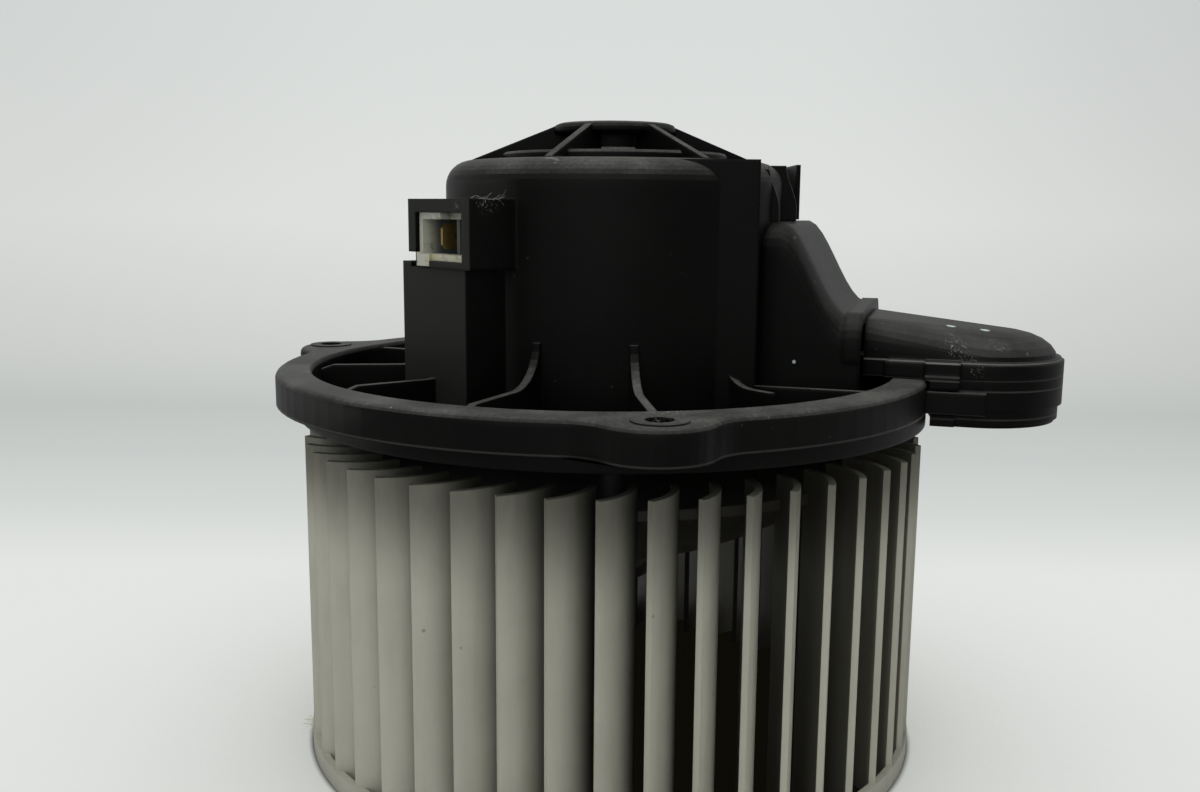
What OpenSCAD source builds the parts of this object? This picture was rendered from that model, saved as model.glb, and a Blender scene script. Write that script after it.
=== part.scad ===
// Cabin blower motor: a moulded motor housing with its cooling duct and
// socket, a brushed motor on rubber rings inside it, and a forward-curved
// fan wheel below.  Millimetres, +Z up.  The origin is on the motor's axis,
// in the plane of the flange's underside.  Angles are measured from the
// front, -Y, towards +X.

/* [Fan wheel] */
// Diameter over the blade tips
wheel_d = 150; // [140:0.5:151]
// Height of the blades
blade_h = 75; // [60:1:100]
// Number of blades
blade_n = 47; // [30:1:54]
// Thickness of a blade
blade_t = 1.5; // [1:0.1:2]
// Depth of a blade from its tip inwards
blade_depth = 14; // [10:0.5:17]
// Radius of the arc that a blade follows
blade_arc_r = 16; // [15:0.5:22]
// Angle of a blade's inner edge to the radius
blade_lead = 4; // [0:1:12]
// Angle of a blade's tip near the front
first_tip = 6.05; // [0:0.05:7.6]
// Distance of the blade tops below the flange's underside
wheel_drop = 9; // [7.5:0.5:14]
// Height of the ring that ties the blades at the bottom
ring_h = 4; // [2:0.5:10]
// Thickness of that ring
ring_t = 1.6; // [1:0.1:3]
// Thickness of the dished hub plate
dish_t = 2.2; // [1.5:0.1:3]
// Depth of the dish
dish_depth = 22; // [16:1:30]
// Distance of the dish's edge below the blade tops
dish_drop = 5; // [2:0.5:10]
// Radius of the hub boss
hub_r = 9.5; // [7:0.5:12]
// Length of the hub boss below the dish
hub_len = 10; // [6:0.5:16]

/* [Mounting flange] */
// Mean width of the seat outside the spigot
seat_w = 2.9; // [2.9:0.1:4.5]
// Room beside the spigot for the edge of the scroll's hole
scroll_gap = 1.2; // [1:0.1:1.6]
// Length of the spigot below the flange
spigot_l = 3.5; // [2.5:0.5:5]
// Radius of the flange
flange_r = 78.4; // [78.4:0.2:82]
// Offset of the flange's centre towards -X
flange_off = 2.6; // [0:0.2:2.8]
// Height of the flange
flange_h = 7.4; // [6:0.2:9]
// Width of the flange's rim
flange_w = 8.4; // [7:0.2:10]
// Radius of the flange's top edges
flange_edge = 1.6; // [0.5:0.1:2.2]
// Thickness of the floor inside the flange
floor_t = 2.5; // [1.5:0.1:3]
// Radius of the rounded end of a mounting tab
tab_r = 12; // [9:0.5:14]
// Reach of a tab beyond the flange
tab_reach = 9.6; // [6:0.2:12]
// Radius of the hollow where a tab joins the flange
tab_fillet = 11; // [6:0.5:16]
// Angle of the front tab
tab_angle = 8; // [0:1:15]
// Diameter of a tab's screw hole
hole_d = 5.5; // [4:0.1:7]
// Distance of a screw hole outside the flange's radius
hole_out = 2.3; // [2.3:0.1:3]
// Diameter of the pad round a screw hole
pad_d = 11; // [9:0.5:13]

/* [Motor cover] */
// Radius of the cover
can_r = 40.5; // [40:0.5:42]
// Height of the cover's flat top
can_h = 56; // [54:0.5:62]
// Wall of the cover
can_wall = 2.8; // [2:0.1:3.2]
// Radius of the cover's top edge
can_edge = 6; // [4:0.5:8]
// Radius of the low step on the cover's top
step_r = 27; // [22:0.5:29]
// Height of that step
step_h = 2; // [1:0.2:3]
// Radius of the neck under the cap
neck_r = 9.5; // [6:0.5:11]
// Radius of the cap
cap_r = 14.6; // [12.5:0.2:18]
// Height of the cap above the flange's underside
cap_z = 65; // [63.5:0.5:70]
// Thickness of the cap
cap_t = 2.6; // [1.5:0.1:4]
// Number of ribs that brace the cap
cap_ribs = 6; // [3:1:10]
// Thickness of those ribs
cap_rib_t = 1.8; // [1:0.1:3]
// Angle of the first of them
cap_rib_angle = -24.5; // [-45:0.5:45]
// Thickness of the gussets in the trough
gusset_t = 1.8; // [1:0.1:3]
// Height of a gusset at the cover's wall
gusset_h = 16.4; // [11:0.2:22]
// Angle of the front gusset
gusset_angle = 6.4; // [0:0.2:8]

/* [Side block] */
// X of the block's right face
block_x = 31.2; // [30:0.2:33]
// Distance of the block's front face from the axis
block_y = 33.7; // [32:0.2:36]
// X of the hood's right wall
fins_x = 44.5; // [42.5:0.1:46]
// Distance of the hood's open front from the axis
fins_front = 3; // [1:0.5:10]
// X of the first rib in the hood
fin_x = 39.1; // [36:0.1:40]
// Distance from one rib in the hood to the next
fin_pitch = 4.1; // [3:0.1:4.1]
// Height of the hood above the elbow
fins_gap = 0.5; // [0.3:0.1:1]
// Thickness of a rib in the hood
fin_t = 1; // [0.8:0.1:2]
// Number of ribs in the hood
fin_n = 2; // [1:1:2]
// Width of the air port between the elbow and the cover
port_w = 24; // [16:1:26]
// Height of the air port
port_h = 16; // [12:1:18]

/* [Cooling duct] */
// Distance of the duct's round end outside the flange
duct_out = 10.8; // [10.2:0.2:14]
// Distance of that centre in front of the axis
duct_y = 9.4; // [8:0.2:11]
// Angle of the duct towards the front
duct_angle = 16.5; // [14:0.5:18]
// Radius of the duct's round end, half its width
duct_r = 20; // [19:0.2:21]
// Depth of the tray below the flange's underside
tray_drop = 3.2; // [2:0.1:4]
// Height of the joint between the tray and the cover
seam_z = 7.6; // [7.6:0.1:8.6]
// Height of the cover's upright lip
lip_z = 11.8; // [11:0.1:13]
// Height of the duct cover at the elbow
duct_z = 20.4; // [18:0.2:22]
// Height of the duct cover over its round end
duct_end_z = 17.6; // [15.5:0.2:18]
// Wall of the duct's mouldings
duct_wall = 2; // [1.5:0.1:2.6]
// Distance from the round end's centre to the elbow's joint
joint_x = 24.7; // [24:0.1:26]
// Width of the elbow's collar at that joint
collar_w = 3.8; // [2:0.2:5]
// Height of the elbow at the cover
elbow_z = 42.3; // [40:0.2:44]
// Distance of the elbow's front face from the duct's middle
elbow_front = 28.8; // [27:0.2:29.4]
// Distance of the elbow's back face from the duct's middle
elbow_back = 28.8; // [26:0.2:29.4]
// Radius of the elbow's upper edges
elbow_edge = 7; // [4:0.5:9]
// Radius of the air inlet in the tray
inlet_r = 8; // [5:0.5:10]
// Width of the snap clip
clip_w = 7.6; // [5:0.2:10]

/* [Socket tower] */
// Angle of the tower
tower_angle = -50; // [-54:0.5:-46]
// Distance of the tower's face from the axis
tower_n = 49.6; // [47:0.2:51]
// Width of the tower
tower_w = 26; // [25:0.2:30]
// Offset of the tower's middle
tower_off = -2.7; // [-4:0.1:-1]
// Height of the lower tower
tower_z = 33; // [31:0.2:34]
// Height of the socket frame
frame_z = 46.9; // [46:0.1:49]
// Width of the socket frame
frame_w = 25; // [22:0.2:27]
// Offset of the socket frame's middle
frame_off = 0.5; // [-0.5:0.1:1]
// Width of the socket
socket_w = 18.8; // [17:0.2:20]
// Height of the socket
socket_h = 10.6; // [9.4:0.2:11]
// Height of the socket's floor
socket_z = 33.4; // [33:0.1:34]
// Depth of the socket
socket_d = 11.4; // [8.6:0.2:11.6]
// Width of the lug under the connector's left corner
lug_w = 5.4; // [4:0.1:7]
// Wall of the connector insert
insert_wall = 1.4; // [1:0.1:1.8]
// Width of a terminal blade
blade_w = 5.6; // [4.8:0.1:6]
// Thickness of a terminal blade
terminal_t = 0.8; // [0.6:0.1:1]
// Distance between the two blades
terminal_pitch = 8.4; // [7:0.1:9]

/* [Motor] */
// Thickness of the rubber round the yoke
isolator_t = 5.7; // [4.8:0.1:6.6]
// Wall of the yoke
yoke_t = 1.6; // [1.2:0.1:2]
// Depth of the yoke below the flange's underside
yoke_drop = 8; // [7:0.2:9]
// Room between the yoke's open end and the cover's ceiling
head_room = 7.2; // [6.8:0.1:7.6]
// Radius of the motor shaft
shaft_r = 4; // [3:0.1:4.5]
// Running clearance of the shaft in its bearings
run_gap = 0.03; // [0.02:0.01:0.08]
// Radius of a sleeve bearing
bearing_r = 7; // [6:0.1:7.4]
// Length of a sleeve bearing
bearing_l = 5; // [4:0.2:5.4]
// Wall of the bearing seats
seat_wall = 1.8; // [1:0.1:2.4]
// Thickness of the magnets
magnet_t = 4.8; // [3.5:0.1:5.2]
// Angle that a magnet spans
magnet_span = 128; // [100:1:150]
// Air gap between the magnets and the armature
air_gap = 0.6; // [0.4:0.1:1]
// Room for the end turns between the core and the commutator
end_turns = 7.1; // [6:0.1:10]
// Number of armature slots
slot_n = 12; // [8:1:14]
// Radius of the commutator
comm_r = 9; // [8:0.1:10]
// Length of the commutator
comm_l = 8; // [7:0.1:8.6]
// Thickness of the brush card
card_t = 2.4; // [1.5:0.1:3]
// Width of a carbon brush
brush_w = 6; // [4:0.1:6.5]
// Height of a carbon brush
brush_h = 4.6; // [3.5:0.1:5]
// Length of a carbon brush
brush_l = 9; // [6:0.2:10]
// Wall of a brush holder
holder_t = 0.8; // [0.6:0.1:1]
// Width of the rubber isolators
isolator_h = 3.4; // [2.5:0.1:5]
// Distance of the retainer's screws outside the cover's radius
screw_out = 3; // [2.5:0.1:4.5]
// Diameter of those screws
screw_d = 3.2; // [2.5:0.1:4]

/* [Hidden] */

$fn = 96;
eps = 0.02;
fit = 0.1;
seat_gap = 0.3;

black = [0.09, 0.09, 0.095];
black_soft = [0.13, 0.13, 0.13];
pale = [0.78, 0.78, 0.73];
cream = [0.86, 0.83, 0.72];
brass = [0.72, 0.58, 0.28];
steel = [0.62, 0.63, 0.65];
copper = [0.72, 0.42, 0.24];
dark = [0.24, 0.23, 0.23];

wheel_r = wheel_d / 2;
blade_in = wheel_r - blade_depth;
blade_top = -wheel_drop;
blade_bottom = blade_top - blade_h;
dish_z = blade_top - dish_drop;
dish_r = blade_in + 1.4;
hub_top = dish_z - dish_depth;
hub_bottom = hub_top - hub_len;

arc_c = [blade_in - blade_arc_r * sin(blade_lead), -blade_arc_r * cos(blade_lead)];
arc_out = blade_arc_r + blade_t / 2;
tip_phi = atan2(arc_c[1], arc_c[0])
    + acos((pow(wheel_r - 0.2, 2) - arc_c * arc_c - arc_out * arc_out) / (2 * arc_out * norm(arc_c)));
tip = arc_c + arc_out * [cos(tip_phi), sin(tip_phi)];
blade_phase = first_tip - 90 - atan2(tip[1], tip[0]);

flange_in = flange_r - flange_w;
spigot_r = flange_r - seat_w;
duct_x = flange_r - flange_off + duct_out;
screw_circle = can_r + screw_out;
floor_z = -spigot_l + floor_t;
tab_c = flange_r + tab_reach - tab_r;
hole_circle = flange_r + hole_out;
can_in = can_r - can_wall;
can_top = can_h - can_wall;
plug_gap = 0.2;
block_back = (duct_x - block_x) * tan(duct_angle) + elbow_back / cos(duct_angle) - duct_y + 0.4;
fins_z = elbow_z + fins_gap;
hood_back = 25;
rib_rise = can_h - 0.3 - fins_z;
port_z = elbow_z - elbow_edge - duct_wall - port_h;
insert_n = tower_n - socket_d + fit;
frame_n = tower_n + 0.6;
blade_z = socket_z + socket_h / 2;
terminal_n = tower_n - 3;
terminal_in = 26;
yoke_r = can_in - isolator_t;
yoke_z = can_top - head_room;
yoke_in = yoke_r - yoke_t;
yoke_bottom = -yoke_drop;
card_z = yoke_z - card_t;
boss_r = bearing_r + seat_wall;
lower_seat = yoke_bottom - bearing_l - 1;
bracket_t = 2;
upper_seat = yoke_z + bracket_t;
shaft_top = upper_seat + bearing_l - 1;
shaft_bottom = hub_bottom - 2;
core_r = yoke_in - magnet_t - air_gap;
core_z = 2;
comm_top = card_z - 0.5;
comm_z = comm_top - comm_l;
core_top = comm_z - end_turns;
core_l = core_top - core_z;
magnet_z = core_z - 3;
magnet_l = core_l + 6;
brush_z = card_z - holder_t - 0.3;
brush_n = comm_r + 0.05;
brush_angles = [tower_angle + 90, tower_angle - 90];
lip_drop = 1.9;
screw_n = 3;

// Points of an arc in the plane.
function arc(cx, cy, rx, ry, a0, a1, n) =
    [for (i = [0:n]) let (a = a0 + (a1 - a0) * i / n) [cx + rx * cos(a), cy + ry * sin(a)]];
// Smooth step from 0 to 1.
function ease(t) = (1 - cos(180 * min(1, max(0, t)))) / 2;

// Turns local +X to the given angle from the front.
module at(angle) { rotate([0, 0, angle - 90]) children(); }

// The frame of the cooling duct: +X along it, the origin in its round end.
module duct_frame() { translate([duct_x, -duct_y, 0]) rotate([0, 0, -duct_angle]) children(); }

// A ring from two radii between two heights.
module tube(ro, ri, z0, z1) {
    translate([0, 0, z0]) difference() {
        cylinder(r = ro, h = z1 - z0);
        translate([0, 0, -1]) cylinder(r = ri, h = z1 - z0 + 2);
    }
}

// Plate of the given outline in X and Z, centred on Y.
module web(points, t) {
    rotate([90, 0, 0]) linear_extrude(t, center = true) polygon(points);
}

// Fan wheel
module blade() {
    translate([arc_c[0], arc_c[1], blade_bottom]) intersection() {
        difference() {
            cylinder(r = blade_arc_r + blade_t / 2, h = blade_h);
            translate([0, 0, -1]) cylinder(r = blade_arc_r - blade_t / 2, h = blade_h + 2);
        }
        translate([0, 0, -1]) linear_extrude(blade_h + 2) polygon([[0, 0],
            2 * blade_arc_r * [sin(blade_lead), cos(blade_lead)], 2 * blade_arc_r * [cos(tip_phi), sin(tip_phi)]]);
    }
}

module fan_wheel() {
    color(pale) union() {
        for (k = [0:blade_n - 1]) rotate(360 * k / blade_n + blade_phase) blade();
        tube(wheel_r, wheel_r - ring_t, blade_bottom - 0.5, blade_bottom + ring_h);
        difference() {
            union() {
                rotate_extrude() polygon(concat(
                    [for (i = [0:16]) let (r = dish_r - (dish_r - hub_r + 1) * i / 16) [r, dish_top(r)]],
                    [for (i = [16:-1:0]) let (r = dish_r - (dish_r - hub_r + 1) * i / 16)
                        [r, dish_top(r) - dish_t]]));
                translate([0, 0, hub_bottom]) cylinder(r = hub_r, h = hub_len + 1);
                for (k = [0:5]) rotate(60 * k) web([[hub_r - 1, hub_top - dish_t + 0.5],
                    [hub_r + 12, dish_top(hub_r + 12) - dish_t + 0.5], [hub_r + 1.5, hub_bottom + 1.5],
                    [hub_r - 1, hub_bottom + 1.5]], 1.6);
            }
            translate([0, 0, hub_bottom - 1]) cylinder(r = shaft_r, h = hub_len + dish_t + 6);
        }
    }
}
// Height of the dish's upper side at a radius.
function dish_top(r) = dish_z - dish_depth * cos(90 * min(1, (r - hub_r + 1) / (dish_r - hub_r + 1)));

// Motor housing
// Outline of the flange and its three tabs, smaller all round by the inset:
// each tab's round end, the hollow on either side, and the rim to the next.
function flange_ring(inset, z) = let (
    a = flange_r + tab_fillet,
    b = tab_r + tab_fillet,
    fx = (a * a - b * b + tab_c * tab_c) / (2 * tab_c),
    fy = sqrt(a * a - fx * fx),
    phi = atan2(fy, fx),
    q = atan2(fy, tab_c - fx),
    side = concat(
        arc(fx, -fy, tab_fillet + inset, tab_fillet + inset, 180 - phi, q, 5),
        arc(tab_c, 0, tab_r - inset, tab_r - inset, q - 180, 180 - q, 12),
        arc(fx, fy, tab_fillet + inset, tab_fillet + inset, -q, phi - 180, 5),
        [for (i = [1:23]) let (t = phi + (120 - 2 * phi) * i / 24) (flange_r - inset) * [cos(t), sin(t)]]),
    n = len(side))
    [for (k = [2:-1:0], i = [n - 1:-1:0]) let (t = tab_angle + 120 * k - 90, p = side[i])
        [p[0] * cos(t) - p[1] * sin(t) - flange_off, p[0] * sin(t) + p[1] * cos(t), z]];

module flange() {
    e = flange_edge;
    difference() {
        union() {
            difference() {
                loft(concat([flange_ring(0, 0)], [for (i = [0:4]) let (t = 90 * i / 4)
                    flange_ring(e * (1 - cos(t)), flange_h - e + e * sin(t))], [flange_ring(e, flange_h + 1)]));
                translate([-flange_off, 0, flange_h]) cylinder(r = flange_r + tab_reach + 2, h = 2);
            }
            translate([0, 0, -spigot_l]) cylinder(r = spigot_r, h = spigot_l + 2, $fn = 180);
            translate([-flange_off, 0, 0]) for (k = [0:2]) at(tab_angle + 120 * k)
                translate([hole_circle, 0, 1]) cylinder(d = pad_d, h = flange_h - 0.7);
        }
        translate([-flange_off, 0, 0]) rotate_extrude($fn = 180) polygon([[0, floor_z], [flange_in, floor_z],
            [flange_in, flange_h - 0.9], [flange_in + 0.3, flange_h - 0.3], [flange_in + 0.9, flange_h + 0.5],
            [flange_in + 0.9, flange_h + 5], [0, flange_h + 5]]);
    }
}

module cover_shell() {
    rotate_extrude($fn = 128) polygon(concat([[0, floor_z - 1], [can_r, floor_z - 1]],
        arc(can_r - can_edge, can_h - can_edge, can_edge, can_edge, 0, 90, 8),
        [[step_r, can_h], [step_r, can_h + step_h - 0.6], [step_r - 0.6, can_h + step_h],
         [neck_r, can_h + step_h], [neck_r, cap_z - cap_t], [cap_r - 0.8, cap_z - cap_t],
         [cap_r, cap_z - cap_t + 0.5], [cap_r, cap_z - 1.2], [cap_r - 0.4, cap_z - 0.4], [cap_r - 1.4, cap_z],
         [0, cap_z]]));
}

module cover_cavity() {
    e = can_edge - can_wall;
    translate([0, 0, 0]) rotate_extrude() polygon(concat([[0, -spigot_l - 1], [can_in, -spigot_l - 1]],
        arc(can_in - e, can_top - e, e, e, 0, 90, 6), [[0, can_top]]));
}

module cap_ribs() {
    for (k = [0:cap_ribs - 1]) at(cap_rib_angle + 360 * k / cap_ribs)
        web([[neck_r - 1, can_h - 0.5], [can_r - can_edge, can_h - 0.5], [can_r - can_edge, can_h + 0.2],
             [cap_r - 0.6, cap_z - 0.5], [neck_r - 1, cap_z - 0.5]], cap_rib_t);
}

module gussets() {
    reach = flange_in - 2;
    for (k = [0, -1, -2, -3, -4, -5, -6, -7]) at(gusset_angle + 30 * k)
        web(concat([[can_r - 1, floor_z - 0.5], [can_r - 1, gusset_h]],
            arc(can_r + 11, gusset_h, 10.2, gusset_h - flange_h + 0.2, 180, 270, 8),
            [[reach, flange_h + 0.2 - 0.4], [reach + 3, flange_h - 1.2], [reach + 3, floor_z - 0.5]]), gusset_t);
    at(gusset_angle + 32) web(concat([[can_r - 1, floor_z - 0.5], [can_r - 1, gusset_h - 4]],
        arc(can_r + 8, gusset_h - 4, 7.6, gusset_h - 4 - flange_h + 0.6, 180, 270, 8),
        [[can_r + 14, flange_h - 0.6], [can_r + 14, floor_z - 0.5]]), gusset_t);
}

module side_block() {
    translate([12, -block_y, floor_z - 1])
        cube([block_x - 12, block_y + block_back, can_h - 0.3 - floor_z + 1]);
    hood_wall(block_x - 6, fins_x - block_x + 6, [[4 - fins_front, fins_z], [23, fins_z + rib_rise]]);
    hood_wall(fins_x - fin_t, fin_t, [[-fins_front, fins_z], [-fins_front, fins_z + rib_rise]]);
    for (k = [0:fin_n - 1]) hood_wall(fin_x + fin_pitch * k, fin_t, [[-fins_front, fins_z],
        [-fins_front, fins_z + 0.16 * rib_rise], [1.6 - fins_front, fins_z + 0.27 * rib_rise],
        [8.4, fins_z + 0.6 * rib_rise], [16.5, fins_z + 0.9 * rib_rise], [18, fins_z + rib_rise]]);
}

// Part of the hood over the elbow: its front edge in Y and Z, at one X.
module hood_wall(x, t, front) {
    translate([x, 0, 0]) rotate([90, 0, 90]) linear_extrude(t)
        polygon(concat(front, [[hood_back, fins_z + rib_rise], [hood_back, fins_z]]));
}

module tower() {
    at(tower_angle) {
        translate([30, tower_off - tower_w / 2, floor_z - 1])
            cube([tower_n - 30, tower_w, tower_z - floor_z + 1]);
        translate([30, frame_off - frame_w / 2, tower_z - 1])
            cube([frame_n - 30, frame_w, frame_z - tower_z + 1]);
    }
}

module tower_cuts() {
    at(tower_angle) {
        translate([tower_n - socket_d, frame_off - socket_w / 2, socket_z])
            cube([socket_d + 5, socket_w, socket_h]);
        terminal_slots(fit);
        translate([tower_n - 1.2, frame_off - frame_w / 2 - 0.1, socket_z - 1.6])
            cube([5, (frame_w - socket_w) / 2 + lug_w + 0.1 + fit, 3.4]);
    }
}

// Slots for the two blades, with the given clearance all round.
module terminal_slots(gap) {
    for (s = [-1, 1]) translate([terminal_in - 1, frame_off + s * terminal_pitch / 2 - terminal_t / 2 - gap,
                                 blade_z - blade_w / 2 - gap])
        cube([terminal_n - terminal_in, terminal_t + 2 * gap, blade_w + 2 * gap]);
}

// Arm of the flange that carries the tray's front wall.
module duct_bracket() {
    duct_frame() translate([-14, -duct_r - 3.8, 0.4]) cube([16.6, 3.6, 4.8]);
}

module trough_wall() {
    start = can_r - 3.6 - duct_x;
    duct_frame() translate([start, -elbow_front - 5.4, floor_z - 0.5])
        cube([2 - joint_x - start, gusset_t, flange_h - 0.8 - floor_z]);
}

module motor_housing() {
    color(black) difference() {
        union() {
            flange();
            cover_shell();
            cap_ribs();
            gussets();
            side_block();
            tower();
            duct_bracket();
            trough_wall();
        }
        cover_cavity();
        tower_cuts();
        translate([20, -port_w / 2, port_z]) cube([can_r - 18, port_w, port_h]);
        translate([-flange_off, 0, 0]) for (k = [0:2]) at(tab_angle + 120 * k)
            translate([hole_circle, 0, -1]) cylinder(d = hole_d, h = flange_h + 5);
        for (k = [0:screw_n - 1]) at(60 + 360 * k / screw_n)
            translate([screw_circle, 0, -spigot_l - 1]) cylinder(d = screw_d, h = 1 + floor_t - 0.6);
        trim_spigot();
    }
}

// Keeps what reaches past the spigot off its outside.
module trim_spigot() { tube(spigot_r + 12, spigot_r, -spigot_l - 2, -eps / 2); }

// Motor retainer
module motor_retainer() {
    z = -spigot_l - fit;
    color(black_soft) difference() {
        rotate_extrude() polygon([[yoke_r - 3.5, yoke_bottom - lip_drop - 0.1], [can_in - 0.4, yoke_bottom - lip_drop - 0.1],
            [can_in - 0.4, z - 2], [screw_circle + 4, z - 2], [screw_circle + 4, z], [can_in - 2.4, z],
            [can_in - 2.4, yoke_bottom - 0.1], [yoke_r - 3.5, yoke_bottom - 0.1]]);
        for (k = [0:screw_n - 1]) at(60 + 360 * k / screw_n)
            translate([screw_circle, 0, z - 5]) cylinder(d = screw_d + 0.4, h = 10);
    }
}

module retainer_screws() {
    z = -spigot_l - fit - 2;
    color(steel) for (k = [0:screw_n - 1]) at(60 + 360 * k / screw_n) translate([screw_circle, 0, 0]) {
        difference() {
            translate([0, 0, z - 2]) cylinder(d = screw_d * 2, h = 2);
            translate([0, 0, z - 2.1]) { cube([4, 0.9, 2.2], center = true); cube([0.9, 4, 2.2], center = true); }
        }
        translate([0, 0, z - 0.1]) cylinder(d = screw_d, h = 2 + fit + floor_t - 1);
    }
}

// Ring of points across the elbow at one place along it: a flat with two
// rounded upper corners.
function elbow_ring(x, top, low, front, back, r) = concat(
    [[x, front, low]],
    [for (p = arc(front + r, top - r, r, r, 180, 90, 6)) [x, p[0], p[1]]],
    [for (p = arc(back - r, top - r, r, r, 90, 0, 6)) [x, p[0], p[1]]],
    [[x, back, low]]);

// A skin over rings of equal length, closed at both ends.
module loft(rings) {
    m = len(rings[0]);
    n = len(rings);
    polyhedron(
        points = [for (r = rings) each r],
        faces = concat([[for (j = [m - 1:-1:0]) j]], [[for (j = [0:m - 1]) (n - 1) * m + j]],
            [for (i = [0:n - 2], j = [0:m - 1]) let (k = (j + 1) % m) [i * m + j, i * m + k, (i + 1) * m + k]],
            [for (i = [0:n - 2], j = [0:m - 1]) let (k = (j + 1) % m) [i * m + j, (i + 1) * m + k, (i + 1) * m + j]]),
        convexity = 6);
}

// Height of the elbow's back at a distance along the duct.
function elbow_top(x) = let (a = -joint_x - 18.6, b = -joint_x - 2.6)
    elbow_z - (elbow_z - duct_z - 1) * pow(ease((x - a - 0.2) / (b - a)), 0.86);

module elbow_body(inset) {
    xs = concat([12 - duct_x, -joint_x - 24], [for (i = [0:12]) -joint_x - 20 + 20 * i / 12]);
    loft([for (x = xs) elbow_ring(min(x, -joint_x + (inset > 0 ? 1 : 0)) + (x > -joint_x - 0.01 && inset > 0 ? 1 : 0),
        elbow_top(x) - inset, floor_z + 0.1 + inset, -elbow_front + inset, elbow_back - inset,
        max(1, elbow_edge - inset))]);
}

module cooling_elbow() {
    color(black) difference() {
        union() {
            duct_frame() {
                elbow_body(0);
                translate([-joint_x - collar_w, 0, 0]) rotate([90, 0, 90]) linear_extrude(collar_w)
                    difference() {
                        collar_shape(elbow_top(-joint_x) + 1, elbow_edge);
                        translate([-40, -10]) square([80, lip_z + 10]);
                    }
            }
        }
        duct_frame() elbow_body(duct_wall);
        translate([block_x - can_r * 2 + fit, -can_r * 2, -20]) cube([can_r * 2, can_r * 4, can_h * 2]);
        flange_keepout(seat_gap);
        translate([0, 0, -10]) cylinder(r = can_r + fit, h = 80);
    }
}

// Outline of the collar, wide of the elbow by half a millimetre.
module collar_shape(top, r) {
    polygon(concat([[-elbow_front - 0.5, 0]], arc(-elbow_front - 0.5 + r, top - r, r, r, 180, 90, 6),
        arc(elbow_back + 0.5 - r, top - r, r, r, 90, 0, 6), [[elbow_back + 0.5, 0]]));
}

// Room for the flange under the duct.
module flange_keepout(gap) {
    translate([-flange_off, 0, 0]) {
        tube(flange_r + 30, flange_in - gap, -30, 0);
        tube(flange_r + gap, flange_in - gap, -30, seam_z - eps);
    }
}

// Plan of the duct from the elbow's joint to the round end.
module duct_plan(inset, x0) {
    circle(duct_r - inset, $fn = 128);
    translate([x0, -duct_r + inset]) square([-x0, 2 * (duct_r - inset)]);
}

// Rounded top of the duct cover, smaller all round by the inset.
module duct_dome(inset) {
    r = duct_r - 1.6 - inset;
    z0 = seam_z + 1;
    top = duct_z - inset;
    q = 6;
    hull() {
        translate([-joint_x + (inset > 0 ? -1 : fit), 0, 0]) rotate([90, 0, 90]) linear_extrude(0.5) polygon(concat(
            [[-r, z0]], arc(-r + q, top - q, q, q, 180, 90, 6), arc(r - q, top - q, q, q, 90, 0, 6), [[r, z0]]));
        rotate_extrude($fn = 48) polygon(concat([[0, z0]],
            arc(7, lip_z - 0.6, r - 7, duct_end_z - inset - lip_z + 0.6, 0, 90, 6), [[0, duct_end_z - inset]]));
    }
}

module duct_cover() {
    color(black) difference() {
        union() {
            duct_frame() {
                translate([0, 0, seam_z]) linear_extrude(lip_z - 0.7 - seam_z) duct_plan(0, -joint_x + 5);
                translate([0, 0, seam_z]) linear_extrude(lip_z - seam_z) duct_plan(0.7, -joint_x + 5.6);
                translate([0, 0, seam_z]) linear_extrude(2.4) duct_plan(1.6, -joint_x + fit);
                duct_dome(0);
                clip_arm(-7);
            }
        }
        duct_frame() {
            duct_dome(duct_wall);
            translate([0, 0, seam_z - 1]) linear_extrude(3) duct_plan(1.6 + duct_wall, -joint_x - 1);
        }
        flange_keepout(seat_gap);
    }
}

// Snap clip on the cover's front wall, folded out below its middle.
module clip_arm(x) {
    translate([x, -duct_r, 0]) rotate([90, 0, 90]) linear_extrude(clip_w, center = true)
        polygon([[0.5, lip_z + 0.4], [-1, lip_z + 0.4], [-1.5, lip_z - 0.4], [-1.5, 8.7], [-2.3, 8.3],
                 [-2.3, 5.5], [-0.3, 5.5], [-0.3, 7.4], [0.5, 7.9]]);
}

module duct_tray() {
    top = seam_z - fit;
    color(black) difference() {
        duct_frame() {
            difference() {
                union() {
                    translate([0, 0, 1]) linear_extrude(top - 1) duct_plan(0, -joint_x);
                    translate([0, 0, -tray_drop + 0.8]) linear_extrude(top) duct_plan(0.8, -joint_x);
                    translate([0, 0, -tray_drop]) linear_extrude(1) duct_plan(1.5, -joint_x);
                    translate([-7.4 - 3.5, -duct_r - 1, -tray_drop + 0.3]) cube([7, 4, 2.6]);
                }
                translate([0, 0, top]) linear_extrude(8) duct_plan(-5, -joint_x - 5);
                difference() {
                    translate([0, 0, -tray_drop + duct_wall]) linear_extrude(20) duct_plan(2.8, -joint_x);
                    duct_unframe() translate([-flange_off, 0, -20]) cylinder(r = flange_r + seat_gap + duct_wall, h = 60);
                }
                translate([0, 0, -10]) cylinder(r = inlet_r, h = 20);
            }
            difference() {
                translate([0, 0, -tray_drop + 0.6]) cylinder(r = inlet_r + 1.6, h = duct_wall + 2);
                translate([0, 0, -10]) cylinder(r = inlet_r, h = 20);
            }
        }
        translate([-flange_off, 0, -20]) cylinder(r = flange_r + seat_gap, h = 60, $fn = 180);
        translate([0, 0, -20]) cylinder(r = spigot_r + scroll_gap, h = 20.5, $fn = 180);
    }
}

// Back from the duct's frame to the part's.
module duct_unframe() { rotate([0, 0, duct_angle]) translate([-duct_x, duct_y, 0]) children(); }

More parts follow.
